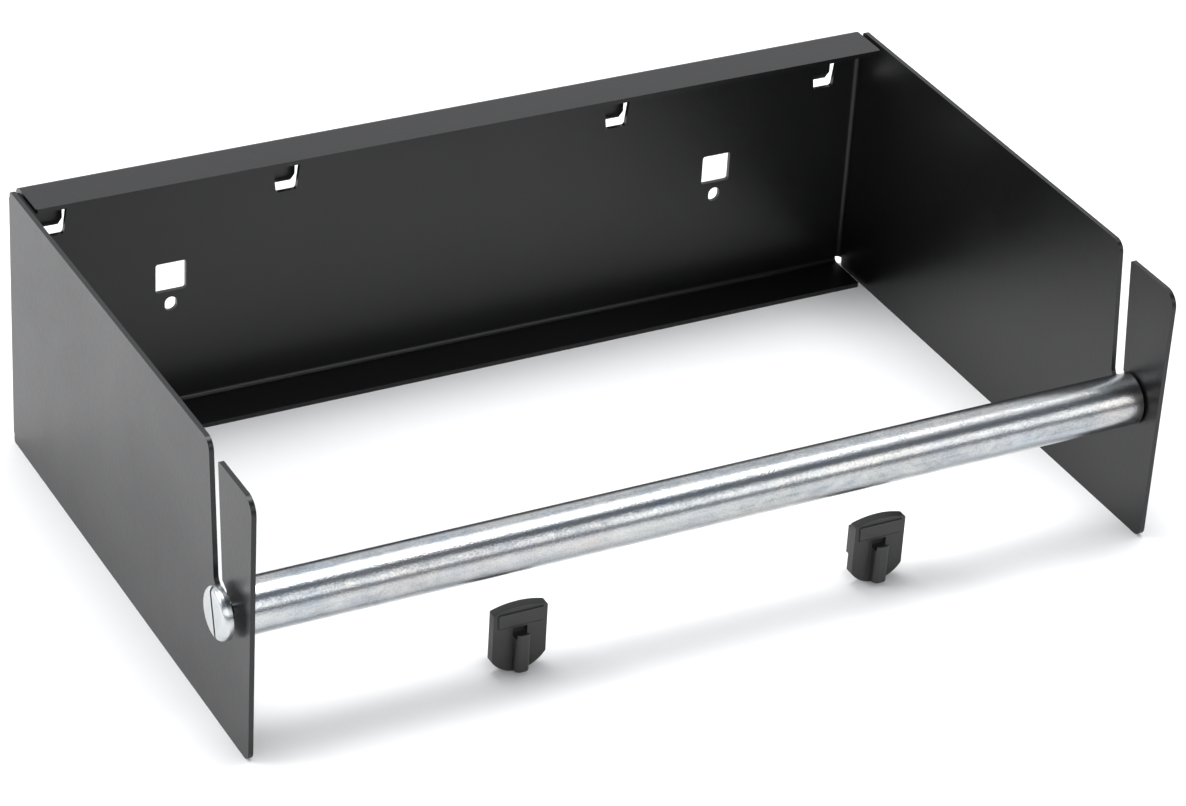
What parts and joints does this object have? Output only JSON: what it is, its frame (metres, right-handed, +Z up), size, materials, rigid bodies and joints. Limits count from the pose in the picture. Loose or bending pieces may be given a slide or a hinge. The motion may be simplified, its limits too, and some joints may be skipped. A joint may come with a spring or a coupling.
{
  "type": "paper towel holder",
  "caption": "Folded steel wall bracket with hooks for a square-hole panel, carrying a plated roller tube in two side slots, with two plastic lock clips.",
  "frame": {"origin": "middle of the back plate's rear face, where it lies on the panel", "axes": "+X across the holder to its right end, +Y into the wall, +Z up"},
  "size_m": [0.3042, 0.1875, 0.087],
  "materials": {
    "black_powder_coat": "satin powder coat",
    "zinc_plated_steel": "bright zinc plating",
    "zinc_plated_screw": "bright zinc plating",
    "grey_plastic": "moulded bearing plastic",
    "black_plastic": "fine matte"
  },
  "bodies": {
    "bracket": {"bracket": "black_powder_coat"},
    "axle": {"axle_rod": "zinc_plated_steel", "left_axle_screw": "zinc_plated_screw", "right_axle_screw": "zinc_plated_screw"},
    "roller": {"roller_tube": "zinc_plated_steel", "left_bush": "grey_plastic", "right_bush": "grey_plastic"},
    "left_clip": {"left_lock_clip": "black_plastic"},
    "right_clip": {"right_lock_clip": "black_plastic"}
  },
  "joints": [
    {"name": "axle_unseat", "type": "slide", "parent": "bracket", "child": "axle", "axis": [0, 0.8838, 0.4679], "range_m": [0, 0.0096]},
    {"name": "roller_spin", "type": "hinge", "parent": "axle", "child": "roller", "pos_m": [0, -0.1695, -0.0015], "axis": [1, 0, 0], "continuous": true},
    {"name": "left_clip_draw", "type": "slide", "parent": "bracket", "child": "left_clip", "axis": [0, -1, 0], "range_m": [0, 0.05]},
    {"name": "right_clip_draw", "type": "slide", "parent": "bracket", "child": "right_clip", "axis": [0, -1, 0], "range_m": [0, 0.05]}
  ]
}
